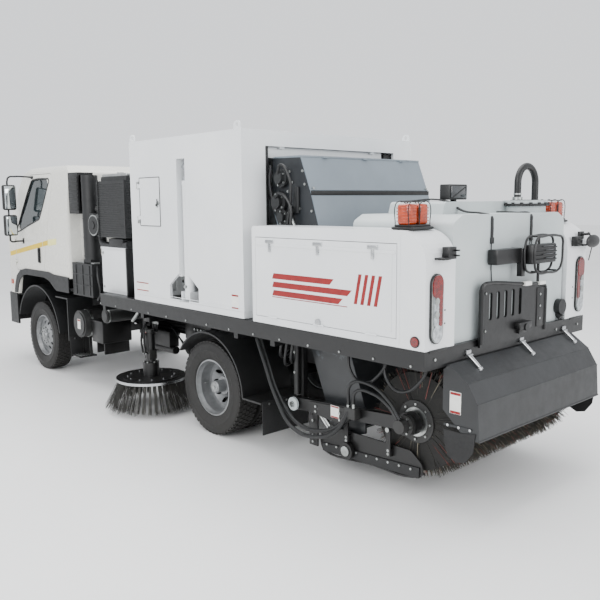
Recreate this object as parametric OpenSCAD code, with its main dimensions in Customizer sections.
// Street sweeper truck: two-axle cab-over chassis, side-tipping high-dump hopper,
// inclined conveyor, poly water tank, a main broom at the rear and two gutter brooms.
// Millimetres. +X is forward, +Y is the vehicle's left, Z = 0 is the ground.
// The origin is under the middle of the overall length and width.

/* [Overall] */
// Overall width over the body sides
body_w = 2440; // [2340:10:2600]
// Distance between front and rear axles
wheelbase = 4230; // [4100:10:4700]
// Front axle to the front face of the bumper
front_overhang = 1130; // [1080:10:1300]
// Rear axle to the rearmost fold of the broom hood
rear_overhang = 3190; // [3100:10:3400]
// Height of the top of the body's outer side rails
rail_top_z = 1334; // [1300:2:1400]
// Depth of the outer side rails
rail_h = 148; // [120:4:180]
// Width of the box section that makes the side rails
rail_w = 60; // [50:5:80]

/* [Chassis] */
// Width over the two chassis rails
frame_w = 860; // [820:10:900]
// Height of the top of the chassis rails
frame_top_z = 1030; // [1000:10:1060]
// Depth of a chassis rail
frame_h = 230; // [200:10:250]
// Flange width of a chassis rail
frame_flange = 75; // [60:5:90]
// Steel thickness of a chassis rail
frame_t = 10; // [8:1:14]

/* [Wheels] */
// Outside diameter of the tyres
tyre_d = 996; // [940:4:1040]
// Section width of a tyre
tyre_w = 262; // [230:2:280]
// Bead seat diameter of the rims
rim_d = 571; // [495:1:572]
// Height of the rim flange above the bead seat
rim_flange = 13; // [10:1:15]
// Steel thickness of the rims
rim_t = 9; // [7:1:12]
// Distance from the centreline to the middle of a front tyre
front_track_y = 920; // [900:5:940]
// Distance from the centreline to the middle of an outer rear tyre
rear_track_y = 945; // [925:5:960]
// Centre distance of twin tyres
twin_gap = 318; // [300:2:330]
// Diameter of the wheel spindles
spindle_d = 90; // [70:5:110]
// Outside diameter of the wheel hubs
hub_d = 230; // [200:10:250]

/* [Cab] */
// Width of the cab
cab_w = 2240; // [2100:10:2280]
// Length of the cab from rear wall to front panel
cab_l = 2200; // [2000:10:2200]
// Thickness of the cab walls and doors
cab_wall = 40; // [30:2:60]
// Height of the cab roof
cab_roof_z = 2935; // [2860:5:3000]
// Height of the cab's lower edge beside the wheels
cab_floor_z = 1420; // [1400:5:1480]
// Gap round the cab doors
door_gap = 6; // [5:1:10]
// Thickness of the window glass
glass_t = 6; // [5:1:8]

/* [Hopper] */
// Length of the hopper
hopper_l = 2003; // [1800:1:2100]
// Rear axle to the hopper's rear face
hopper_back = 784; // [760:2:800]
// Height of the hopper's roof
hopper_top_z = 3090; // [2900:5:3150]
// Wall of the hopper, ribs included
hopper_wall = 30; // [20:2:40]
// Height of the load floor
hopper_floor_z = 1700; // [1680:5:1760]
// Depth of the frame that the hopper rests on
platform_h = 60; // [50:2:80]
// Length of a scissor arm between its end pivots
arm_l = 1700; // [1500:10:1700]
// Depth of a scissor arm
arm_h = 80; // [60:2:90]
// Thickness of a scissor arm
arm_t = 30; // [20:2:36]
// Height of the scissor's lower pivots
lift_z = 1262; // [1240:2:1270]
// Height gained between lower and upper pivots at rest
lift_rest_h = 240; // [220:2:250]

/* [Sweeping gear] */
// Diameter over the bristles of the main broom
broom_d = 950; // [850:5:960]
// Length of the main broom
broom_l = 1720; // [1600:10:1740]
// Diameter of the main broom's core
core_d = 330; // [250:5:380]
// Height of the main broom's shaft as carried for travel
broom_z = 660; // [640:5:670]
// Rear axle to the main broom's shaft
broom_back = 2540; // [2500:5:2560]
// Diameter over the bristle tips of a gutter broom
gutter_d = 1100; // [900:10:1120]
// Diameter of a gutter broom's plate
plate_d = 640; // [500:10:720]
// Width over the conveyor housing
conveyor_w = 1700; // [1500:10:1700]
// Sheet thickness of conveyor, hood and side housings
sheet_t = 20; // [10:1:24]

/* [Hidden] */
$fn = 48;
e = 1;                       // how far a cut runs past the face it opens

rear_axle_x = (rear_overhang - front_overhang - wheelbase) / 2;
front_axle_x = rear_axle_x + wheelbase;
front_x = front_axle_x + front_overhang;
rear_x = rear_axle_x - rear_overhang;
half_w = body_w / 2;
axle_z = tyre_d / 2;
rail_bottom_z = rail_top_z - rail_h;
beam_x = rear_axle_x - 2888; // rear face of the body's rear beam
cab_front_z = 1075;          // lower edge of the cab's front panel

// Box from three [low, high] ranges
module block(x, y, z) {
  translate([x[0], y[0], z[0]]) cube([x[1] - x[0], y[1] - y[0], z[1] - z[0]]);
}
// Round bar along Y, along X or along Z, with an optional bore
module bar_y(x, z, d, y, bore = 0) {
  translate([x, y[0], z]) rotate([-90, 0, 0]) difference() {
    cylinder(d = d, h = y[1] - y[0]);
    if (bore > 0) translate([0, 0, -e]) cylinder(d = bore, h = y[1] - y[0] + 2 * e);
  }
}
module bar_x(y, z, d, x, bore = 0) {
  translate([x[0], y, z]) rotate([0, 90, 0]) difference() {
    cylinder(d = d, h = x[1] - x[0]);
    if (bore > 0) translate([0, 0, -e]) cylinder(d = bore, h = x[1] - x[0] + 2 * e);
  }
}
module bar_z(x, y, d, z, bore = 0) {
  translate([x, y, z[0]]) difference() {
    cylinder(d = d, h = z[1] - z[0]);
    if (bore > 0) translate([0, 0, -e]) cylinder(d = bore, h = z[1] - z[0] + 2 * e);
  }
}
// Straight round rod between two points
module rod(a, b, d) {
  v = b - a;
  l = norm(v);
  translate(a) rotate([0, acos(v[2] / l), atan2(v[1], v[0])]) cylinder(d = d, h = l);
}
// The same on both sides
module both() {
  children();
  mirror([0, 1, 0]) children();
}
// Side-view outline [x, z] drawn out across Y
module across(pts, y) {
  translate([0, y[1], 0]) rotate([90, 0, 0]) linear_extrude(y[1] - y[0]) polygon(pts);
}
// Rear-view outline [y, z] drawn out along X
module along(pts, x) {
  translate([x[0], 0, 0]) rotate([90, 0, 90]) linear_extrude(x[1] - x[0]) polygon(pts);
}
// Outline with each corner [x, y, radius] rounded by n chords
function rounded(p, n = 6) = [
  for (i = [0:len(p) - 1])
    let (
      c = [p[i][0], p[i][1]],
      a = p[(i + len(p) - 1) % len(p)],
      b = p[(i + 1) % len(p)],
      u = ([a[0], a[1]] - c) / norm([a[0], a[1]] - c),
      v = ([b[0], b[1]] - c) / norm([b[0], b[1]] - c),
      r = p[i][2],
      half = acos(max(-1, min(1, u * v))) / 2,
      m = (u + v) / max(0.001, norm(u + v)),
      o = c + m * r / sin(half),
      s = c + u * r / tan(half),
      f = c + v * r / tan(half),
      t0 = atan2(s[1] - o[1], s[0] - o[0]),
      t1 = atan2(f[1] - o[1], f[0] - o[0]),
      d = t1 - t0 > 180 ? t1 - t0 - 360 : (t1 - t0 < -180 ? t1 - t0 + 360 : t1 - t0)
    )
    each (r == 0 ? [c] : [for (k = [0:n]) o + r * [cos(t0 + d * k / n), sin(t0 + d * k / n)]])
];
// Outline moved inwards by d, for a counter-clockwise outline
function inset(p, d) = [
  for (i = [0:len(p) - 1])
    let (
      a = p[(i + len(p) - 1) % len(p)],
      c = p[i],
      b = p[(i + 1) % len(p)],
      u = (c - a) / norm(c - a),
      v = (b - c) / norm(b - c),
      nu = [-u[1], u[0]],
      nv = [-v[1], v[0]],
      m = nu + nv
    )
    c + m * d * 2 / (m * m)
];
// Ring sector in the XZ plane, from angle a0 to a1 above the forward horizontal
module arch(x, z, r_in, r_out, a0, a1, y) {
  translate([x, y[1], z]) rotate([90, 0, 0]) rotate([0, 0, a0])
    rotate_extrude(angle = a1 - a0, $fn = 96)
      translate([r_in, 0]) square([r_out - r_in, y[1] - y[0]]);
}

// ---- Chassis ----
frame_rear_x = rear_axle_x - 1240;
frame_front_x = front_x - 190;
frame_y = frame_w / 2;
frame_z = [frame_top_z - frame_h, frame_top_z];

module channel(x) {
  difference() {
    block(x, [frame_y - frame_flange, frame_y], frame_z);
    block([x[0] - e, x[1] + e], [frame_y - frame_flange - e, frame_y - frame_t],
          [frame_z[0] + frame_t, frame_z[1] - frame_t]);
  }
}
cross_x = [frame_rear_x + 30, rear_axle_x - 560, rear_axle_x + 620, rear_axle_x + 1500,
           rear_axle_x + 2400, front_axle_x + 700, frame_front_x - 90];
module chassis_frame() {
  color([0.07, 0.07, 0.08]) {
    both() channel([frame_rear_x, frame_front_x]);
    for (x = cross_x)
      block([x, x + 60], [-frame_y + frame_t / 2, frame_y - frame_t / 2],
            [frame_z[0] + 110, frame_z[1] - 20]);
    gutter_mounts();
  }
}

// Body subframe: outer side rails, bearers over the chassis rails, rear beam and crossbars
rail_front_x = rear_axle_x + 2053;
rail_z = [rail_bottom_z, rail_top_z];
bearer_x = [rear_axle_x - 1180, rail_front_x];
hopper_x = [rear_axle_x - hopper_back, rear_axle_x - hopper_back + hopper_l];
track_y = [585, 635];        // scissor track, from the centreline
lift_ear_y = [590, 620];     // plates that hold the scissor's fixed pins
roller_d = 70;
pin_d = 40;
lift_pivot_x = hopper_x[1] - 84;
track_top_z = lift_z - roller_d / 2 - 0.5;
body_cross_x = [rear_axle_x - 1180, rear_axle_x - 640, lift_pivot_x - 40, rail_front_x - rail_w];
tail_bearer_y = [870, 930];
module body_subframe() {
  color([0.05, 0.05, 0.06]) {
    both() {
      block([beam_x, rail_front_x], [half_w - rail_w, half_w], rail_z);
      block(bearer_x, [frame_y - frame_flange, frame_y], [frame_top_z, rail_bottom_z]);
      block([beam_x, rear_axle_x - 1120], tail_bearer_y, rail_z);
      block([beam_x + 30, beam_x + 90], [tail_bearer_y[1] - 2, half_w - rail_w + 2], rail_z);
      block([rear_axle_x - 1180, rear_axle_x - 1120], [tail_bearer_y[0] - 5, half_w - rail_w + 2],
            [rail_z[0], rail_z[1] - 2]);
      block([rear_axle_x - 2000, rear_axle_x - 1940], [tail_bearer_y[1] - 2, half_w - rail_w + 2],
            rail_z);
      // scissor track and its front pivot plates
      block([hopper_x[0] + 60, lift_pivot_x + 45], track_y, [rail_bottom_z - 40, track_top_z]);
      difference() {
        block([lift_pivot_x - 45, lift_pivot_x + 45], lift_ear_y, [track_top_z - e, lift_z + 40]);
        bar_y(lift_pivot_x, lift_z, pin_d + 1, [lift_ear_y[0] - e, lift_ear_y[1] + e]);
      }
      // hangers and pins of the main broom's arms
      block([arm_pivot[0] - 50, arm_pivot[0] + 50], [arm_y[0] - 60, arm_y[0] - 6],
            [arm_pivot[1] - 60, rail_bottom_z + 5]);
      bar_y(arm_pivot[0], arm_pivot[1], 50, [arm_y[0] - 7, arm_y[1] + 12]);
    }
    // deck under the cabinets
    block([rail_front_x - 560, rail_front_x], [-half_w + rail_w - 2, half_w - rail_w + 2],
          [rail_top_z - 12, rail_top_z]);
    for (x = body_cross_x)
      block([x, x + rail_w], [-half_w + rail_w / 2, half_w - rail_w / 2],
            [rail_bottom_z - 60, rail_bottom_z + 5]);
    block([beam_x, beam_x + rail_w], [-half_w, half_w], rail_z);
    block([beam_x + 960, beam_x + 1020], [-tail_bearer_y[0] - 5, tail_bearer_y[0] + 5], rail_z);
    // guard plate hung on the rear beam, with five slots
    guard_plate();
  }
}
guard_x = [beam_x - 32, beam_x - 12];
module guard_plate() {
  difference() {
    along(rounded([[-440, rail_top_z - 60, 0], [560, rail_top_z - 60, 0], [560, 1790, 70],
                   [-440, 1700, 70]]), guard_x);
    for (i = [0:4])
      translate([guard_x[0] - e, 400 - 110 * i, 0]) {
        translate([0, 0, 1500]) cube([22 + 2 * e, 44, 180]);
        translate([0, 22, 1500]) rotate([0, 90, 0]) cylinder(d = 44, h = 22 + 2 * e);
        translate([0, 22, 1680]) rotate([0, 90, 0]) cylinder(d = 44, h = 22 + 2 * e);
      }
  }
  for (y = [-400, 500])
    block([guard_x[1] - e, beam_x + 10], [y - 25, y + 25], [rail_top_z - 55, rail_top_z - 10]);
}

// ---- Axles, springs and engines ----
king_y = front_track_y - 190; // kingpin distance from the centreline
king_d = 44;
spring_w = 76;
spring_y = frame_y - 38;
leaf_t = 14;
module spring(x, y, z, half_l) {
  for (i = [0:4])
    block([x - half_l * (1 - 0.17 * i), x + half_l * (1 - 0.17 * i)],
          [y - spring_w / 2, y + spring_w / 2],
          [z - leaf_t * (i + 1) - (i == 0 ? 0 : e), z - leaf_t * i]);
  for (s = [-1, 1]) {
    bar_y(x + s * half_l, z - leaf_t / 2, 60, [y - spring_w / 2, y + spring_w / 2]);
    block([x + s * half_l - 25, x + s * half_l + 25], [y - spring_w / 2 + 10, y + spring_w / 2 - 10],
          [z, frame_z[0]]);
  }
}
module axles() {
  color([0.06, 0.06, 0.07]) {
    // rear axle: tube, differential and spindles
    bar_y(rear_axle_x, axle_z, 170, [-560, 560]);
    bar_y(rear_axle_x, axle_z, spindle_d, [-990, 990]);
    translate([rear_axle_x, 0, axle_z]) sphere(d = 430);
    bar_x(0, axle_z, 190, [rear_axle_x, rear_axle_x + 330]);
    both() {
      spring(rear_axle_x, spring_y, frame_z[0] - 40, 640);
      block([rear_axle_x - 60, rear_axle_x + 60], [spring_y - 45, spring_y + 45],
            [axle_z + 60, frame_z[0] - 40 - 5 * leaf_t]);
    }
    // front axle: dropped beam with a kingpin at each end
    block([front_axle_x - 50, front_axle_x + 50], [-king_y + 70, king_y - 70],
          [axle_z - 110, axle_z - 20]);
    both() {
      block([front_axle_x - 35, front_axle_x + 35], [king_y - 130, king_y],
            [axle_z - 60, axle_z + 60]);
      bar_z(front_axle_x, king_y, 80, [axle_z - 60, axle_z + 60]);
      bar_z(front_axle_x, king_y, king_d, [axle_z - 115, axle_z + 115]);
      spring(front_axle_x, spring_y, frame_z[0] - 60, 620);
      block([front_axle_x - 60, front_axle_x + 60], [spring_y - 45, spring_y + 45],
            [axle_z - 21, frame_z[0] - 60 - 5 * leaf_t]);
    }
  }
}
module engines() {
  color([0.35, 0.36, 0.36]) {
    // truck engine under the cab, gearbox and propeller shaft
    block([front_axle_x - 700, front_axle_x + 450], [-300, 300], [760, cab_floor_z - 60]);
    block([front_axle_x - 1350, front_axle_x - 700 + e], [-190, 190], [800, 1120]);
    rod([front_axle_x - 1350 + e, 0, 860], [rear_axle_x + 340, 0, axle_z + 20], 90);
    // auxiliary engine that drives the sweeping gear
    block([rail_front_x + 560, rail_front_x + 960], [-440, 320], [frame_top_z, 1900]);
  }
}
module chassis_tanks() {
  color([0.82, 0.83, 0.82]) {
    // fuel tank on the right, air tanks on the left, hydraulic filter
    along(rounded([[-1100, 640, 60], [-480, 640, 60], [-480, 1120, 60], [-1100, 1120, 60]]),
          [rear_axle_x + 2210, rear_axle_x + 3010]);
    bar_y(rear_axle_x + 2900, 835, 360, [500, 1100]);
    bar_y(rear_axle_x + 2190, 1015, 170, [480, 1100]);
    block([rear_axle_x + 2300, rear_axle_x + 2950], [-481, -frame_y], [850, 960]);
    block([rear_axle_x + 2860, rear_axle_x + 2940], [frame_y, 501], [800, 880]);
    block([rear_axle_x + 2160, rear_axle_x + 2220], [frame_y, 481], [960, 1010]);
  }
}

// ---- Bumper and mudguards ----
bumper_z = [600, cab_front_z - 10];
shelf_z = [985, 1015];       // shelf inside the bumper, under the cab's pivot lugs
module front_bumper() {
  color([0.07, 0.07, 0.08]) {
    difference() {
      translate([0, 0, bumper_z[0]]) linear_extrude(bumper_z[1] - bumper_z[0])
        polygon(rounded([[front_x - 420, -cab_w / 2, 0], [front_x, -cab_w / 2, 160],
                         [front_x, cab_w / 2, 160], [front_x - 420, cab_w / 2, 0]]));
      for (z = [[bumper_z[0] - e, shelf_z[0]], [shelf_z[1], bumper_z[1] + e]])
        translate([0, 0, z[0]]) linear_extrude(z[1] - z[0])
          polygon(rounded([[front_x - 421, -cab_w / 2 + 30, 0], [front_x - 30, -cab_w / 2 + 30, 130],
                           [front_x - 30, cab_w / 2 - 30, 130], [front_x - 421, cab_w / 2 - 30, 0]]));
      block([front_x - 421, front_x - 180], [-cab_w / 2 + 30, cab_w / 2 - 30], shelf_z + [-e, e]);
    }
    both() block([frame_front_x, front_x - 29], [frame_y - frame_flange, frame_y], [860, 960]);
    // pivot brackets that carry the tilting cab
    both() difference() {
      union() {
        block([cab_pivot_x - 50, cab_pivot_x + 15], [frame_y - 60, frame_y - 20],
              [860, cab_pivot_z]);
        bar_y(cab_pivot_x, cab_pivot_z, 40, [frame_y - 60, frame_y - 20]);
      }
      bar_y(cab_pivot_x, cab_pivot_z, cab_pin_d + 1, [frame_y - 61, frame_y - 19]);
    }
  }
}
module mudguards() {
  color([0.07, 0.07, 0.08]) both() {
    arch(front_axle_x, axle_z + 30, 700, 722, 18, 172, [745, cab_w / 2 - 8]);
    block([front_axle_x - 990, front_axle_x - 700], [740, 770], [560, 1150]);
    block([front_axle_x - 1010, front_axle_x - 990 + e], [745, cab_w / 2 - 8], [560, 1150]);
    block([front_axle_x - 780, front_axle_x - 740], [frame_y, 741], [930, 970]);
    block([front_axle_x - 990, front_axle_x - 640], [746, cab_w / 2 - 8], [1130, 1150]);
    arch(rear_axle_x, axle_z, 585, 603, 35, 178, [480, half_w - 105]);
    block([rear_axle_x - 40, rear_axle_x + 40], [frame_y, 900], [axle_z + 602, 1142]);
    block([rear_axle_x - 880, rear_axle_x - 590], [480, half_w - 105], [axle_z + 5, axle_z + 23]);
  }
}

// ---- Wheels ----
// Tyre as one ring, its side walls bulging past the rim
tyre_r = tyre_d / 2;
rim_r = rim_d / 2;
module tyre(y) {
  half = tyre_w / 2;
  translate([0, y, 0]) rotate([-90, 0, 0]) rotate_extrude($fn = 96)
    polygon(rounded([[rim_r, -half + 34, 0], [rim_r + rim_flange + 2, -half + 34, 0],
                     [rim_r + 30, -half + 8, 8], [tyre_r - 95, -half, 60],
                     [tyre_r - 4, -half + 16, 14], [tyre_r, 0, 0],
                     [tyre_r - 4, half - 16, 14], [tyre_r - 95, half, 60],
                     [rim_r + 30, half - 8, 8], [rim_r + rim_flange + 2, half - 34, 0],
                     [rim_r, half - 34, 0]], 4));
}
// Rim barrel with its two flanges, centred on y
module rim_barrel(y) {
  half = tyre_w / 2 - 34;
  translate([0, y, 0]) rotate([-90, 0, 0]) rotate_extrude($fn = 96)
    polygon([[rim_r, -half - 0.3], [rim_r, half + 0.3], [rim_r + rim_flange, half + 0.6],
             [rim_r + rim_flange, half + 6], [rim_r - 2, half + 8], [rim_r - rim_t, half - 12],
             [rim_r - rim_t - 12, half - 40], [rim_r - rim_t - 12, -half + 40],
             [rim_r - rim_t, -half + 12], [rim_r - 2, -half - 8],
             [rim_r + rim_flange, -half - 6], [rim_r + rim_flange, -half - 0.6]]);
}
// Dished disc from the hub face at y0 out to the barrel at y1, with round hand holes
disc_t = 14;
module disc(y0, y1) {
  d = y1 > y0 ? disc_t : -disc_t;
  difference() {
    rotate([-90, 0, 0]) rotate_extrude($fn = 96)
      polygon([[spindle_d / 2 + 20, y0], [145, y0], [rim_r - 60, y1], [rim_r - rim_t - 11, y1],
               [rim_r - rim_t - 11, y1 - d], [rim_r - 66, y1 - d], [140, y0 - d],
               [spindle_d / 2 + 20, y0 - d]]);
    for (a = [0:36:324])
      rotate([0, a + 18, 0]) translate([0, min(y0, y1) - 30, 190])
        rotate([-90, 0, 0]) cylinder(d = 52, h = abs(y1 - y0) + 60);
  }
}
stud_n = 10;
stud_pcd = 285;
module studs(y0, y1, r = stud_pcd / 2) {
  for (i = [0:stud_n - 1])
    rotate([0, i * 360 / stud_n, 0]) translate([0, y0, r])
      rotate([-90, 0, 0]) cylinder(d = 30, h = y1 - y0, $fn = 6);
}
// Front rim: disc set outwards, hub with a bore for the spindle
module front_rim() {
  y = front_track_y;
  rim_barrel(y);
  disc(y + 72, y + 30);
  studs(y + 70, y + 96, 115);
  translate([0, y - 60, 0]) rotate([-90, 0, 0]) difference() {
    cylinder(d = hub_d - 60, h = 160);
    translate([0, 0, -e]) cylinder(d = spindle_d + 1, h = 131);
  }
}
// Rear rims: two dished discs back to back on one long hub
module rear_rims() {
  yo = rear_track_y;
  yi = rear_track_y - twin_gap;
  mid = (yo + yi) / 2;
  rim_barrel(yo);
  rim_barrel(yi);
  disc(mid, yo - 60);
  disc(mid, yi + 60);
  studs(mid + disc_t - 2, mid + disc_t + 26, 115);
  translate([0, yi - 40, 0]) rotate([-90, 0, 0]) difference() {
    union() {
      cylinder(d = hub_d - 40, h = mid - yi + 160);
      cylinder(d = hub_d + 90, h = 70);
      cylinder(d = 130, h = mid - yi + 260);
    }
    translate([0, 0, -e]) cylinder(d = spindle_d + 1, h = 990 - yi + 40 + 6);
  }
}
module at_front() { translate([front_axle_x, 0, axle_z]) children(); }
module at_rear() { translate([rear_axle_x, 0, axle_z]) children(); }
module front_tyre_left() { color([0.08, 0.08, 0.08]) at_front() tyre(front_track_y); }
module front_tyre_right() { mirror([0, 1, 0]) front_tyre_left(); }
module front_rim_left() { color([0.75, 0.76, 0.77]) at_front() front_rim(); }
module front_rim_right() { mirror([0, 1, 0]) front_rim_left(); }
module rear_tyres_left() {
  color([0.08, 0.08, 0.08]) at_rear() {
    tyre(rear_track_y);
    tyre(rear_track_y - twin_gap);
  }
}
module rear_tyres_right() { mirror([0, 1, 0]) rear_tyres_left(); }
module rear_rims_left() { color([0.75, 0.76, 0.77]) at_rear() rear_rims(); }
module rear_rims_right() { mirror([0, 1, 0]) rear_rims_left(); }
// Steering knuckle: fork on the kingpin and the spindle that carries the hub
module knuckle_left() {
  color([0.10, 0.10, 0.11]) at_front() difference() {
    union() {
      for (z = [62, -62 - 44])
        block([-38, 38], [king_y - 40, king_y + 70], [z, z + 44]);
      block([-38, 38], [king_y + 46, king_y + 76], [-106, 106]);
      bar_y(0, 0, spindle_d, [king_y + 60, front_track_y + 60]);
      block([-150, -30], [king_y + 50, king_y + 74], [-104, -80]);
    }
    bar_z(0, king_y, king_d + 1, [-120, 120]);
  }
}
module knuckle_right() { mirror([0, 1, 0]) knuckle_left(); }

// ---- Cab ----
cab_front_x = front_x - 60;
cab_rear_x = cab_front_x - cab_l;
cab_pivot_x = cab_front_x - 32;
cab_pivot_z = cab_front_z - 22;
cab_pin_d = 30;
cab_side = rounded([
  [cab_rear_x, cab_floor_z, 20], [cab_front_x - 560, cab_floor_z, 30],
  [cab_front_x - 450, cab_front_z, 30], [cab_front_x, cab_front_z, 20],
  [cab_front_x, cab_roof_z - 1160, 160], [cab_front_x - 110, cab_roof_z - 985, 60],
  [cab_front_x - 690, cab_roof_z - 110, 90], [cab_front_x - 950, cab_roof_z, 200],
  [cab_rear_x + 170, cab_roof_z, 160], [cab_rear_x, cab_roof_z - 90, 70]], 5);
cab_plan = rounded([
  [cab_rear_x - e, -cab_w / 2, 60], [cab_front_x + e, -cab_w / 2, 190],
  [cab_front_x + e, cab_w / 2, 190], [cab_rear_x - e, cab_w / 2, 60]], 6);
cab_end = rounded([[-cab_w / 2, cab_front_z - 50, 0], [cab_w / 2, cab_front_z - 50, 0],
  [cab_w / 2 - 10, cab_roof_z - 700, 0], [cab_w / 2 - 70, cab_roof_z + e, 110],
  [-cab_w / 2 + 70, cab_roof_z + e, 110], [-cab_w / 2 + 10, cab_roof_z - 700, 0]], 6);
module cab_solid(d) {
  intersection() {
    across(inset(cab_side, d), [-cab_w / 2 - e, cab_w / 2 + e]);
    translate([0, 0, 900]) linear_extrude(2200) polygon(inset(cab_plan, d));
    along(inset(cab_end, d), [cab_rear_x - 50, cab_front_x + 50]);
  }
}
// Outline of a door and of its window, seen from the side
door_front_x = cab_front_x - 420;
door_rear_x = cab_rear_x + 470;
door_low = cab_floor_z + 25;
door_outline = rounded([
  [door_rear_x + 350, door_low, 60], [door_front_x, door_low, 40],
  [door_front_x, cab_roof_z - 960, 20], [cab_front_x - 940, cab_roof_z - 105, 90],
  [door_rear_x, cab_roof_z - 105, 90], [door_rear_x + 150, cab_roof_z - 800, 200]]);
window_outline = rounded([
  [door_rear_x + 405, cab_roof_z - 725, 60], [door_front_x - 60, cab_roof_z - 935, 60],
  [cab_front_x - 1010, cab_roof_z - 175, 90], [door_rear_x + 110, cab_roof_z - 170, 80]]);
door_slab_y = [cab_w / 2 - 120, cab_w / 2 + 60];
// Windscreen opening, drawn on the front view and cut through the raked front
screen_view = rounded([[-cab_w / 2 + 110, cab_roof_z - 940, 90], [cab_w / 2 - 110, cab_roof_z - 940, 90],
  [cab_w / 2 - 190, cab_roof_z - 170, 110], [-cab_w / 2 + 190, cab_roof_z - 170, 110]]);
// Door hinges: the lower knuckle of each pair is the cab's, the upper one the door's
door_hinge_x = door_front_x + 5;
door_hinge_y = cab_w / 2 + 10;
door_hinge_z = [1520, 1860];
knuckle_d = 24;
knuckle_h = 34;
function cab_side_y(z) = cab_w / 2 - 10 * (z - cab_front_z + 50) / (cab_roof_z - 650 - cab_front_z);
module cab_hinges() {
  color([0.93, 0.93, 0.90]) both()
    for (z = door_hinge_z) {
      bar_z(door_hinge_x, door_hinge_y, knuckle_d, [z, z + knuckle_h], 13);
      block([door_hinge_x + 8, door_hinge_x + 48], [cab_side_y(z) + 0.3, door_hinge_y + 2],
            [z + 3, z + knuckle_h - 3]);
    }
}
module cab_shell_solid() {
  difference() {
    cab_solid(0);
    cab_solid(cab_wall);
  }
}
module cab_shell() {
  color([0.93, 0.93, 0.90]) {
    difference() {
      cab_shell_solid();
      both() across(inset(door_outline, -door_gap), door_slab_y);
      along(screen_view, [cab_front_x - 800, cab_front_x + e]);
    }
    // pivot lugs under the front panel, with their pins
    both() {
      block([cab_pivot_x - 26, cab_pivot_x + 26], [frame_y - 15, frame_y + 45],
            [cab_pivot_z, cab_front_z + 25]);
      bar_y(cab_pivot_x, cab_pivot_z, 52, [frame_y - 15, frame_y + 45]);
      bar_y(cab_pivot_x, cab_pivot_z, cab_pin_d, [frame_y - 60, frame_y + 45]);
    }
  }
}
module windscreen() {
  color([0.35, 0.45, 0.47]) intersection() {
    difference() {
      cab_solid(14);
      cab_solid(14 + glass_t);
    }
    along(inset(screen_view, 0.4), [cab_front_x - 800, cab_front_x + e]);
  }
}
module door_left() {
  color([0.93, 0.93, 0.90]) {
    difference() {
      intersection() {
        cab_shell_solid();
        across(door_outline, door_slab_y);
      }
      across(window_outline, door_slab_y);
    }
    for (z = door_hinge_z) {
      bar_z(door_hinge_x, door_hinge_y, knuckle_d, [z + knuckle_h + 1, z + 2 * knuckle_h + 1]);
      block([door_hinge_x - 48, door_hinge_x - 8], [cab_w / 2 - 15, door_hinge_y + 2],
            [z + knuckle_h + 4, z + 2 * knuckle_h - 2]);
      bar_z(door_hinge_x, door_hinge_y, 12, [z + 4, z + knuckle_h + 2]);
    }
  }
}
module door_glass_left() {
  color([0.35, 0.45, 0.47]) intersection() {
    difference() {
      cab_solid(16);
      cab_solid(16 + glass_t);
    }
    across(inset(window_outline, 0.4), door_slab_y);
  }
}
mirror_x = cab_front_x - 800;
mirror_y = [cab_w / 2 + 90, cab_w / 2 + 290];
mirror_post_y = cab_w / 2 + 190;
module mirrors_left() {
  color([0.06, 0.06, 0.06]) difference() {
    union() {
      block([mirror_x, mirror_x + 60], mirror_y, [2330, 2700]);
      block([mirror_x, mirror_x + 60], mirror_y, [1960, 2270]);
      bar_z(mirror_x + 75, mirror_post_y, 26, [1880, 2780]);
      rod([mirror_x + 75, mirror_post_y, 2770], [cab_front_x - 1035, cab_w / 2 - 70, 2795], 26);
      rod([mirror_x + 75, mirror_post_y, 1890], [mirror_x + 75, cab_w / 2 - 12, 1880], 26);
      block([mirror_x + 55, mirror_x + 95], [cab_w / 2 - 10, cab_w / 2 + 6], [1840, 1920]);
    }
    // stops just short of the door's skin
    cab_solid(-0.3);
  }
}
module door_right() { mirror([0, 1, 0]) door_left(); }
module door_glass_right() { mirror([0, 1, 0]) door_glass_left(); }
module mirrors_right() { mirror([0, 1, 0]) mirrors_left(); }
seat_x = cab_rear_x + 620;
floor_in_z = cab_floor_z + cab_wall;
module cab_interior() {
  color([0.20, 0.21, 0.23]) {
    for (y = [-560, 560]) {
      block([seat_x - 60, seat_x + 380], [y - 190, y + 190], [floor_in_z, floor_in_z + 260]);
      block([seat_x - 40, seat_x + 480], [y - 240, y + 240], [floor_in_z + 259, floor_in_z + 400]);
      translate([seat_x - 40, y - 230, floor_in_z + 399]) rotate([0, -10, 0])
        cube([120, 460, 640]);
      translate([seat_x - 140, y - 130, floor_in_z + 1060]) rotate([0, -10, 0])
        cube([90, 260, 170]);
    }
    // dashboard and the engine cover between the seats
    across(rounded([[cab_front_x - 480, 1800, 20], [cab_front_x - 150, 1780, 20],
                    [cab_front_x - 200, 1930, 20], [cab_front_x - 430, 1960, 40]]), [-1000, 1000]);
    block([cab_front_x - 330, cab_front_x - 200], [-260, 260], [floor_in_z - 300, 1801]);
    block([seat_x - 60, cab_front_x - 500], [-270, 270], [floor_in_z, floor_in_z + 220]);
  }
}
wheel_x = cab_front_x - 560;
wheel_y = 560;
wheel_z = 2060;
wheel_tilt = 35;
module steering_wheel() {
  color([0.06, 0.06, 0.06]) translate([wheel_x, wheel_y, wheel_z]) rotate([0, -wheel_tilt, 0]) {
    rotate_extrude() translate([215, 0]) circle(d = 30, $fn = 24);
    cylinder(d = 110, h = 40, center = true);
    for (a = [30, 150, 270]) rotate([0, 0, a]) block([40, 212], [-16, 16], [-9, 9]);
    translate([0, 0, -150]) cylinder(d = 50, h = 150);
  }
}

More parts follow.
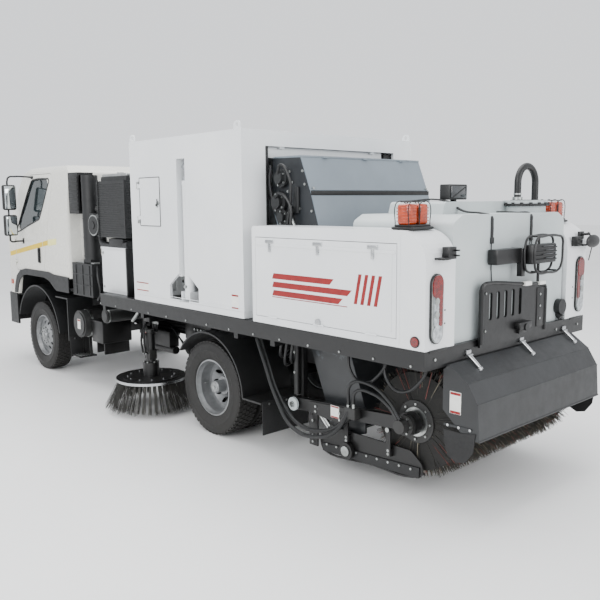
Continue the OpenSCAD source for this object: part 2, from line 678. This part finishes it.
// ---- Power pack behind the cab ----
pack_y = 1100;
module cooler_pack() {
  color([0.06, 0.06, 0.07]) {
    block([rail_front_x - 480, rail_front_x + 180], [560, pack_y], [2010, 2690]);
    block([rail_front_x - 460, rail_front_x + 160], [600, pack_y - 40], [2689, 2740]);
    block([rail_front_x - 400, rail_front_x + 100], [620, 700], [1880, 2011]);
    // air cleaner beside it
    bar_y(rail_front_x + 330, 2150, 270, [700, pack_y]);
    block([rail_front_x + 179, rail_front_x + 331], [760, 860], [2100, 2200]);
  }
}
module air_intake() {
  color([0.05, 0.05, 0.05]) {
    block([cab_rear_x - 330, cab_rear_x - 60], [880, pack_y], [2290, 2820]);
    bar_z(cab_rear_x - 420, 980, 210, [1700, 2780]);
    block([cab_rear_x - 420, cab_rear_x - 200], [930, 1030], [2400, 2500]);
    block([cab_rear_x - 620, cab_rear_x - 60], [620, pack_y], [1220, 1650]);
    block([cab_rear_x - 520, cab_rear_x - 320], [900, 1060], [1649, 1701]);
    block([cab_rear_x - 560, cab_rear_x - 120], [frame_y, 621], [1240, 1300]);
    block([cab_rear_x - 560, cab_rear_x - 120], [frame_y - 60, frame_y + 10],
          [frame_top_z, 1300]);
  }
}
module equipment_cabinet() {
  color([0.93, 0.94, 0.94]) {
    block([rail_front_x - 540, rail_front_x + 140], [460, pack_y], [rail_top_z, 1880]);
    block([rail_front_x - 540, rail_front_x + 140], [-pack_y, -560], [rail_top_z, 2300]);
  }
}

// ---- Hopper, its lift and its tilt ----
platform_z = [rail_top_z + 5, rail_top_z + 5 + platform_h];
hinge_y = -half_w - 14;
hinge_z = platform_z[1] + 1;
hopper_z = [platform_z[1] + 2, hopper_top_z];
upper_z = lift_z + lift_rest_h;
lift_angle = asin(lift_rest_h / arm_l);
outer_y = [545, 545 + arm_t];
inner_y = [500, 500 + arm_t];
mid_l = arm_l / 2;
mid_pin_d = 50;
// One scissor arm lying along -X from its front eye, raised by the angle given
module scissor_arm(x, z, a, y, bore = 0) {
  translate([x, 0, z]) rotate([0, a, 0]) difference() {
    union() {
      block([-arm_l, 0], y, [-arm_h / 2, arm_h / 2]);
      bar_y(0, 0, arm_h, y);
      bar_y(-arm_l, 0, arm_h, y);
    }
    if (bore > 0) bar_y(-mid_l, 0, bore, [y[0] - e, y[1] + e]);
  }
}
mid_x = lift_pivot_x - mid_l * cos(lift_angle);
back_x = lift_pivot_x - arm_l * cos(lift_angle);
mid_z = lift_z + lift_rest_h / 2;
module lift_arms_outer() {
  color([0.07, 0.07, 0.08]) {
    both() {
      scissor_arm(lift_pivot_x, lift_z, lift_angle, outer_y);
      bar_y(lift_pivot_x, lift_z, pin_d, [outer_y[0] + 5, lift_ear_y[1] - 2]);
      bar_y(back_x, upper_z, pin_d, [outer_y[0] + 5, track_y[1]]);
      bar_y(back_x, upper_z, roller_d, [track_y[0], track_y[1]]);
    }
    bar_y(mid_x, mid_z, mid_pin_d, [-outer_y[1], outer_y[1]]);
    bar_y(back_x, upper_z, 60, [-outer_y[0] - 5, outer_y[0] + 5]);
  }
}
module lift_arms_inner() {
  color([0.07, 0.07, 0.08]) {
    both() {
      scissor_arm(lift_pivot_x, upper_z, -lift_angle, inner_y, mid_pin_d + 1);
      bar_y(lift_pivot_x, upper_z, pin_d, [inner_y[0] + 5, lift_ear_y[1] - 2]);
      bar_y(back_x, lift_z, pin_d, [inner_y[0] + 5, track_y[1]]);
      bar_y(back_x, lift_z, roller_d, [track_y[0], track_y[1]]);
    }
    bar_y(back_x, lift_z, 60, [-inner_y[0] - 5, inner_y[0] + 5]);
    bar_y(lift_pivot_x, upper_z, 60, [-inner_y[0] - 5, inner_y[0] + 5]);
  }
}
slot_x = rear_axle_x + 214;
slot_w = 152;
ram_y = half_w - 80;
ram_z = platform_z[1] + 66;
ram_top_z = hopper_top_z - 300;
upper_track_z = upper_z + roller_d / 2 + 0.5;
module lift_platform() {
  px = hopper_x;
  color([0.93, 0.94, 0.94]) {
    difference() {
      block(px, [-half_w, half_w], platform_z);
      block([px[0] + rail_w, px[1] - rail_w], [-half_w + rail_w, half_w - rail_w],
            [platform_z[0] - e, platform_z[1] + e]);
    }
    both() {
      block([px[0] + rail_w - 20, px[1] - rail_w + 20], track_y, [upper_track_z, upper_track_z + 44]);
      for (x = [px[0] + 40, px[1] - 60])
        block([x, x + 20], [track_y[0] - 20, track_y[1] + 60], [platform_z[1] - e, upper_track_z + 44]);
      difference() {
        block([lift_pivot_x - 35, lift_pivot_x + 35], lift_ear_y, [upper_z - 40, upper_track_z + e]);
        bar_y(lift_pivot_x, upper_z, pin_d + 1, [lift_ear_y[0] - e, lift_ear_y[1] + e]);
      }
    }
    // ears that carry the tilt ram, and the hinge pin along the right edge
    for (s = [-1, 1])
      difference() {
        block([slot_x + s * 72 - 7, slot_x + s * 72 + 7], [ram_y - 60, ram_y + 60],
              [platform_z[0] + 10, ram_z + 40]);
        bar_x(ram_y, ram_z, 41, [slot_x + s * 72 - 8, slot_x + s * 72 + 8]);
      }
    block([slot_x - 79, slot_x + 79], [half_w - 190, half_w - rail_w + 5],
          [platform_z[0], platform_z[1]]);
    for (x = [px[0] + 160, px[1] - 360]) {
      bar_x(hinge_y, hinge_z, 16, [x, x + 200]);
      block([x + 75, x + 125], [hinge_y, -half_w + 5], [platform_z[0] + 15, platform_z[1] - 5]);
      bar_x(hinge_y, hinge_z, 28, [x + 75, x + 125]);
    }
  }
}
// Hollow in the left wall that the tilt ram leans into, seen from the rear
recess = [[half_w + e, hopper_floor_z - 61], [790, hopper_floor_z - 61], [790, hopper_floor_z],
          [1050, ram_top_z + 75], [half_w + e, ram_top_z + 75]];
recess_wall = 16;
module recess_skin(d) {
  along([[recess[0][0], recess[0][1]], [recess[1][0] - d, recess[1][1]],
         [recess[2][0] - d, recess[2][1]], [recess[3][0] - d, recess[3][1] + d],
         [recess[4][0], recess[4][1] + d]],
        [slot_x - slot_w / 2 - d, slot_x + slot_w / 2 + d]);
}
mouth_w = 1836;              // opening in the hopper's rear face for the conveyor head
mouth_z = [hopper_floor_z + 60, hopper_top_z - 145];
dump_x = [hopper_x[0] + 130, hopper_x[1] - 130];
dump_z = [hopper_floor_z + 10, hopper_top_z - 240];
hatch_x = [rear_axle_x + 620, rear_axle_x + 1020];
hatch_z = [2180, 2690];
module hopper() {
  hx = hopper_x;
  color([0.93, 0.94, 0.95]) {
    difference() {
      union() {
        difference() {
          block(hx, [-half_w, half_w], hopper_z);
          block([hx[0] + hopper_wall, hx[1] - hopper_wall],
                [-half_w + hopper_wall, half_w - hopper_wall],
                [hopper_floor_z, hopper_z[1] - hopper_wall]);
        }
        intersection() {
          recess_skin(recess_wall);
          block(hx, [0, half_w - e], [hopper_floor_z - 2, hopper_z[1] - 2]);
        }
      }
      recess_skin(0);
      block([hx[0] + hopper_wall, hx[1] - hopper_wall],
            [-half_w + hopper_wall, half_w - hopper_wall],
            [hopper_z[0] - e, hopper_floor_z - 40]);
      // pocket in the skirt at the foot of the ram slot
      across([[slot_x - 265, hopper_z[0] + 14], [slot_x + 265, hopper_z[0] + 14],
              [slot_x + 265, hopper_z[0] + 160], [slot_x + slot_w / 2, hopper_floor_z + 2],
              [slot_x - slot_w / 2, hopper_floor_z + 2], [slot_x - 265, hopper_z[0] + 160]],
             [half_w - hopper_wall - e, half_w + e]);
      block([slot_x - 85, slot_x + 85], [half_w - 220, half_w + e], [hopper_z[0] - e, hopper_z[0] + 60]);
      block([hx[0] - e, hx[0] + hopper_wall + e], [-mouth_w / 2, mouth_w / 2], mouth_z);
      block([dump_x[0] - 8, dump_x[1] + 8], [-half_w - e, -half_w + hopper_wall + e],
            [dump_z[0] - 8, dump_z[1] + 8]);
      block([hatch_x[0] - 5, hatch_x[1] + 5], [half_w - hopper_wall - e, half_w + e],
            [hatch_z[0] - 5, hatch_z[1] + 5]);
      // relief for the platform's hinge knuckles
      for (x = [hx[0] + 160, hx[1] - 360])
        block([x + 68, x + 132], [-half_w - e, -half_w + 8], [hopper_z[0] - e, hopper_z[0] + 26]);
    }
    // hinge leaves of the tilt and four lifting lugs
    for (x = [hx[0] + 160, hx[1] - 360])
      for (o = [0, 132])
        difference() {
          union() {
            bar_x(hinge_y, hinge_z, 28, [x + o, x + o + 68]);
            block([x + o, x + o + 68], [hinge_y - 6, -half_w + 5], [hinge_z + 2, hinge_z + 60]);
          }
          bar_x(hinge_y, hinge_z, 17, [x + o - e, x + o + 69]);
        }
    for (x = [hx[0] + 12, hx[1] - 112], s = [-1, 1]) lifting_lug(x, s);
    block([hx[1] - 420, hx[1] - 260], [760, 920], [hopper_top_z - e, hopper_top_z + 40]);
    // hinges of the dump door
    for (x = [dump_x[0] + 120, dump_x[1] - 220])
      difference() {
        union() {
          bar_x(dump_hinge_y, dump_hinge_z, 30, [x, x + 60]);
          block([x, x + 60], [dump_hinge_y, -half_w + 5], [dump_hinge_z + 4, dump_hinge_z + 40]);
        }
        bar_x(dump_hinge_y, dump_hinge_z, 19, [x - e, x + 61]);
      }
  }
}
lug_h = 150;
module lifting_lug(x, s) {
  y = s > 0 ? half_w - 16 : -half_w + 4;
  difference() {
    across(rounded([[x, hopper_top_z - 40, 0], [x + 100, hopper_top_z - 40, 0],
                    [x + 100, hopper_top_z + lug_h / 2, 45], [x, hopper_top_z + lug_h / 2, 45]]),
           [y, y + 12]);
    bar_y(x + 50, hopper_top_z + lug_h / 2 - 38, 42, [y - e, y + 13]);
  }
}
dump_hinge_y = -half_w - 14;
dump_hinge_z = dump_z[1] + 30;
module dump_door() {
  color([0.93, 0.94, 0.95]) {
    block(dump_x, [-half_w + 1, -half_w + 26], dump_z);
    for (z = [dump_z[0] + 240, dump_z[0] + 620])
      block([dump_x[0] + 60, dump_x[1] - 60], [-half_w - 14, -half_w + 2], [z, z + 70]);
    for (x = [dump_x[0] + 120, dump_x[1] - 220]) {
      bar_x(dump_hinge_y, dump_hinge_z, 18, [x, x + 124]);
      bar_x(dump_hinge_y, dump_hinge_z, 26, [x + 64, x + 124]);
      block([x + 64, x + 124], [dump_hinge_y - 8, dump_hinge_y + 8], [dump_z[1] - 160, dump_hinge_z]);
      block([x + 64, x + 124], [dump_hinge_y - 8, -half_w + 2], [dump_z[1] - 160, dump_z[1] - 10]);
    }
  }
}
hatch_hinge_x = hatch_x[1] + 22;
hatch_hinge_y = half_w + 10;
module inspection_door() {
  color([0.93, 0.94, 0.95]) {
    block(hatch_x, [half_w - 22, half_w + 4], hatch_z);
    for (z = [hatch_z[0] + 60, hatch_z[1] - 110]) {
      bar_z(hatch_hinge_x, hatch_hinge_y, 18, [z, z + 50]);
      block([hatch_x[1] - 60, hatch_hinge_x], [half_w + 3, half_w + 9], [z + 5, z + 45]);
    }
  }
}
// Three-piece telescopic ram that tips the hopper to the right
barrel_d = 108;
stage_d = 84;
piston_d = 62;
module tilt_barrel() {
  color([0.90, 0.91, 0.90]) {
    difference() {
      bar_z(slot_x, ram_y, barrel_d, [ram_z - 40, ram_top_z - 150]);
      bar_z(slot_x, ram_y, stage_d + 2, [ram_z + 40, ram_top_z - 149]);
    }
    bar_x(ram_y, ram_z, 40, [slot_x - 79, slot_x + 79]);
  }
}
module tilt_stage() {
  color([0.75, 0.76, 0.78]) difference() {
    bar_z(slot_x, ram_y, stage_d, [ram_z + 45, ram_top_z - 100]);
    bar_z(slot_x, ram_y, piston_d + 2, [ram_z + 85, ram_top_z - 99]);
  }
}
// Its eye carries the cross pin, whose ends stand just clear of the slot's side walls
module tilt_rod() {
  color([0.82, 0.83, 0.85]) {
    bar_z(slot_x, ram_y, piston_d, [ram_z + 90, ram_top_z - 20]);
    bar_x(ram_y, ram_top_z, 78, [slot_x - 34, slot_x + 34]);
    bar_x(ram_y, ram_top_z, 38, [slot_x - slot_w / 2 + 1, slot_x + slot_w / 2 - 1]);
  }
}

// ---- Conveyor ----
conv_y = conveyor_w / 2;
conv_x0 = hopper_x[0] - 16;  // its head stops short of the hopper, sealed by a rubber lip
conv_side = [
  [rear_axle_x - 1620, 300], [conv_x0, 2330], [conv_x0, 2840], [rear_axle_x - 1185, 2830],
  [rear_axle_x - 1315, 2510], [rear_axle_x - 1405, 2230], [rear_axle_x - 1980, 640],
  [rear_axle_x - 1980, 420]];
module conveyor() {
  color([0.33, 0.34, 0.35]) {
    difference() {
      across(conv_side, [-conv_y, conv_y]);
      across(inset(conv_side, sheet_t), [-conv_y + sheet_t, conv_y - sheet_t]);
      // discharge mouth at the head and pick-up mouth at the foot
      block([conv_x0 - sheet_t - e, conv_x0 + e], [-conv_y + sheet_t, conv_y - sheet_t], [2380, 2800]);
      across([[rear_axle_x - 1640, 250], [rear_axle_x - 1640, 320], [rear_axle_x - 1950, 560],
              [rear_axle_x - 2000, 560], [rear_axle_x - 2000, 250]], [-conv_y + sheet_t, conv_y - sheet_t]);
    }
    // shafts of the conveyor chain and the brackets that hold the housing
    bar_y(conv_x0 - 150, 2640, 60, [-conv_y - 30, conv_y + 30]);
    bar_y(rear_axle_x - 1810, 560, 60, [-conv_y - 30, conv_y + 30]);
    for (s = [-1, 1])
      block([rear_axle_x - 1700, rear_axle_x - 1560],
            s > 0 ? [conv_y - 2, tail_bearer_y[0]] : [-tail_bearer_y[0], 2 - conv_y],
            [rail_bottom_z + 10, rail_top_z - 10]);
  }
}

// ---- Rear body ----
house_x = [beam_x, rear_axle_x - 915];
house_y = [860, half_w];
house_top_z = 2211;
house_outline = rounded([[house_x[0], rail_top_z, 0], [house_x[1], rail_top_z, 0],
                         [house_x[1], house_top_z, 30], [house_x[0], house_top_z, 235]], 10);
flap_x = [rear_axle_x - 2617, rear_axle_x - 969];
flap_z = [rail_top_z + 66, 2109];
module side_housings() {
  color([0.93, 0.94, 0.95]) both() difference() {
    across(house_outline, house_y);
    across(inset(house_outline, sheet_t), [house_y[0] + sheet_t, house_y[1] - sheet_t]);
    block([flap_x[0] - 5, flap_x[1] + 5], [half_w - sheet_t - e, half_w + e],
          [flap_z[0] - 5, flap_z[1] + 5]);
  }
}
flap_hinge_y = half_w + 9;
module flap_left() {
  color([0.93, 0.94, 0.95]) {
    block(flap_x, [half_w - 14, half_w + 1], flap_z);
    for (x = [flap_x[0] + 180, (flap_x[0] + flap_x[1]) / 2 - 60, flap_x[1] - 300])
      bar_x(flap_hinge_y, flap_z[0] + 2, 16, [x, x + 120]);
    // T-handle latches along the top edge
    for (x = [rear_axle_x - 1173, rear_axle_x - 1783, rear_axle_x - 2387])
      block([x - 45, x + 45], [half_w, half_w + 14], [flap_z[1] - 50, flap_z[1] - 14]);
  }
}
module flap_right() { mirror([0, 1, 0]) flap_left(); }

tank_x = [beam_x + 38, beam_x + 1080];
tank_y = 846;
tank_top_z = 2315;
filler = [beam_x + 270, -560];
hose_d = 62;
hose_x = filler[0] + 40;
hose_y = -800;
module water_tank() {
  color([0.78, 0.80, 0.74]) difference() {
    union() {
      along(rounded([[-tank_y, rail_top_z, 40], [tank_y, rail_top_z, 40],
                     [tank_y, tank_top_z - 60, 60], [tank_y - 120, tank_top_z, 60],
                     [-tank_y + 120, tank_top_z, 60], [-tank_y, tank_top_z - 60, 60]]), tank_x);
      along(rounded([[-520, tank_top_z - 20, 0], [540, tank_top_z - 20, 0],
                     [500, tank_top_z + 100, 40], [-480, tank_top_z + 100, 40]]),
            [tank_x[0] + 330, tank_x[0] + 900]);
      bar_z(filler[0], filler[1], 360, [tank_top_z - 10, tank_top_z + 60]);
      bar_z(filler[0], filler[1], 390, [tank_top_z + 55, tank_top_z + 105]);
      bar_z(hose_x, hose_y, 84, [tank_top_z - 60, tank_top_z]);
    }
    // the front face leans with the conveyor
    across([[tank_x[1] + 2, 1300], [tank_x[1] + 2, 2500], [tank_x[1] - 8, 2500],
            [tank_x[1] - 60, 1300]], [-tank_y - e, tank_y + e]);
  }
}
// Fill hose: up from the lid, over a half turn and down to its coupling on the tank
module fill_hose() {
  hx = hose_x;
  top_z = tank_top_z + 260;
  bend = (filler[1] + 60 - hose_y) / 2;
  color([0.13, 0.14, 0.14]) {
    bar_z(hx, filler[1] + 60, hose_d, [tank_top_z + 105, top_z]);
    translate([hx, filler[1] + 60 - bend, top_z]) rotate([90, 0, -90])
      rotate_extrude(angle = 180, $fn = 64) translate([bend, 0]) circle(d = hose_d, $fn = 24);
    bar_z(hx, hose_y, hose_d, [tank_top_z + 40, top_z]);
    bar_z(hx, hose_y, hose_d + 18, [tank_top_z, tank_top_z + 41]);
  }
}
// Tail lamps, amber beacons in wire guards and the lamp over the guard plate
lamp_y = 1098;
module pill(y, z, w, h, x) {
  along(rounded([[y - w / 2, z - h / 2, w / 2 - 1], [y + w / 2, z - h / 2, w / 2 - 1],
                 [y + w / 2, z + h / 2, w / 2 - 1], [y - w / 2, z + h / 2, w / 2 - 1]], 8), x);
}
beacon = [rear_axle_x - 2620, 1040];
module lamps() {
  color([0.75, 0.12, 0.08]) both() {
    pill(lamp_y, 1640, 150, 520, [beam_x - 24, beam_x]);
    block([beacon[0] - 110, beacon[0] + 110], [beacon[1] - 130, beacon[1] + 130],
          [house_top_z, house_top_z + 26]);
    for (o = [-62, 62])
      bar_z(beacon[0], beacon[1] + o, 104, [house_top_z + 25, house_top_z + 165]);
    bar_y(rear_axle_x - 2799, 1397, 80, [half_w, half_w + 12]);
  }
}

// ---- Main broom ----
broom_x = rear_axle_x - broom_back;
arm_pivot = [rear_axle_x - 1230, 570];
arm_y = [935, 985];
shoe_y = [888, 903];
shoe_x = [rear_axle_x - 2640, rear_axle_x - 1500];
shoe_z = [165, 420];
module broom_arms() {
  v = [broom_x - arm_pivot[0], broom_z - arm_pivot[1]];
  color([0.08, 0.08, 0.09]) both() {
    difference() {
      union() {
        translate([arm_pivot[0], 0, arm_pivot[1]]) rotate([0, -atan2(v[1], v[0]), 0])
          block([0, norm(v)], arm_y, [-55, 55]);
        bar_y(arm_pivot[0], arm_pivot[1], 130, arm_y);
        bar_y(broom_x, broom_z, 190, [arm_y[0] - 30, arm_y[1]]);
      }
      bar_y(arm_pivot[0], arm_pivot[1], 51, [arm_y[0] - e, arm_y[1] + e]);
      bar_y(broom_x, broom_z, 61, [arm_y[0] - 31, arm_y[1] - 20]);
    }
    // drag shoe hung from the arm by two links
    across(rounded([[shoe_x[0], shoe_z[0] + 42, 60], [shoe_x[1], shoe_z[0], 30],
                    [shoe_x[1], shoe_z[1] - 60, 30], [shoe_x[1] - 160, shoe_z[1], 30],
                    [shoe_x[0] + 120, shoe_z[1], 60], [shoe_x[0], shoe_z[1] - 90, 60]]), shoe_y);
    for (x = [shoe_x[0] + 330, shoe_x[1] - 330]) {
      block([x - 30, x + 30], [shoe_y[1] - e, arm_y[0] - 8], [shoe_z[1] - 90, shoe_z[1] - 30]);
      block([x - 25, x + 25], [arm_y[0] - 12, arm_y[0] + 4], [shoe_z[1] - 90, 600]);
    }
    bar_y(rear_axle_x - 1840, 255, 150, [shoe_y[1] + 12, shoe_y[1] + 52]);
    bar_y(rear_axle_x - 1840, 255, 40, [shoe_y[1] - e, shoe_y[1] + 13]);
  }
}
module main_broom() {
  color([0.55, 0.53, 0.45]) {
    translate([broom_x, -broom_l / 2, broom_z]) rotate([-90, 0, 0]) difference() {
      cylinder(d = broom_d, h = broom_l, $fn = 96);
      for (z = [-e, broom_l - 60 + e]) translate([0, 0, z]) cylinder(d = core_d - 40, h = 60);
    }
    bar_y(broom_x, broom_z, 60, [-broom_l / 2 - 90, broom_l / 2 + 90]);
  }
}
hood_y = 950;
hood_side = [
  [rear_x + 280, 1204], [rear_x + 110, 1085], [rear_x + 20, 940], [rear_x, 660]];
module broom_hood() {
  inner = [for (p = hood_side) p + [14, -10]];
  color([0.16, 0.17, 0.18]) {
    across(concat(hood_side, [[rear_x + 14, 660], inner[2], inner[1], inner[0]]), [-hood_y, hood_y]);
    block([rear_x + 275, beam_x], [-hood_y, hood_y], [1176, 1200]);
    for (s = [-1, 1])
      across([[rear_x + 330, 850], [rear_x + 330, 1160], hood_side[0] - [0, 4], hood_side[1],
              hood_side[2], hood_side[3], [rear_x + 120, 660]],
             s > 0 ? [hood_y - 8, hood_y] : [-hood_y, -hood_y + 8]);
  }
}

// ---- Gutter brooms ----
gutter_x = rear_axle_x + 1290;
gutter_y = 1000;
gutter_tip_z = 50;
plate_z = 372;
gutter_pivot = [gutter_x + 745, gutter_y - 400];
gutter_reach = [gutter_x, gutter_y] - gutter_pivot;
module gutter_arm_left() {
  color([0.07, 0.07, 0.08]) {
    difference() {
      union() {
        bar_z(gutter_pivot[0], gutter_pivot[1], 120, [720, 1000]);
        translate([gutter_pivot[0], gutter_pivot[1], 0])
          rotate([0, 0, atan2(gutter_reach[1], gutter_reach[0])])
            block([0, norm(gutter_reach) + 20], [-35, 35], [820, 890]);
        bar_z(gutter_x, gutter_y, 120, [550, 905]);
        bar_z(gutter_x, gutter_y, 190, [430, 565]);
      }
      bar_z(gutter_pivot[0], gutter_pivot[1], 51, [719, 1001]);
    }
  }
}
module gutter_mounts() {
  both() {
    bar_z(gutter_pivot[0], gutter_pivot[1], 50, [700, 1015]);
    block([gutter_pivot[0] - 50, gutter_pivot[0] + 50], [frame_y - 8, gutter_pivot[1] + 50],
          [1006, frame_top_z]);
    block([gutter_pivot[0] - 50, gutter_pivot[0] + 50], [frame_y - 8, gutter_pivot[1] + 50],
          [690, 714]);
    block([gutter_pivot[0] - 50, gutter_pivot[0] + 50], [frame_y - 9, frame_y + 20],
          [690, frame_z[0] + 60]);
  }
}
module gutter_broom_left() {
  color([0.20, 0.20, 0.19]) translate([gutter_x, gutter_y, 0]) {
    translate([0, 0, plate_z]) cylinder(d = plate_d + 160, h = 26, $fn = 96);
    translate([0, 0, plate_z + 25]) cylinder(d = 150, h = 32);
    // bristles flare from the plate's rim to the ground
    rotate_extrude($fn = 96)
      polygon([[plate_d / 2 - 60, plate_z], [plate_d / 2 + 60, plate_z],
               [gutter_d / 2, gutter_tip_z], [gutter_d / 2 - 150, gutter_tip_z]]);
  }
}
module gutter_arm_right() { mirror([0, 1, 0]) gutter_arm_left(); }
module gutter_broom_right() { mirror([0, 1, 0]) gutter_broom_left(); }

chassis_frame();
body_subframe();
axles();
engines();
chassis_tanks();
front_bumper();
mudguards();
front_tyre_left();
front_rim_left();
knuckle_left();
front_tyre_right();
front_rim_right();
knuckle_right();
rear_tyres_left();
rear_rims_left();
rear_tyres_right();
rear_rims_right();
cab_shell();
cab_hinges();
windscreen();
cab_interior();
steering_wheel();
door_left();
door_glass_left();
mirrors_left();
door_right();
door_glass_right();
mirrors_right();
cooler_pack();
air_intake();
equipment_cabinet();
lift_arms_outer();
lift_arms_inner();
lift_platform();
hopper();
dump_door();
inspection_door();
tilt_barrel();
tilt_stage();
tilt_rod();
conveyor();
side_housings();
flap_left();
flap_right();
water_tank();
fill_hose();
lamps();
broom_arms();
main_broom();
broom_hood();
gutter_arm_left();
gutter_broom_left();
gutter_arm_right();
gutter_broom_right();
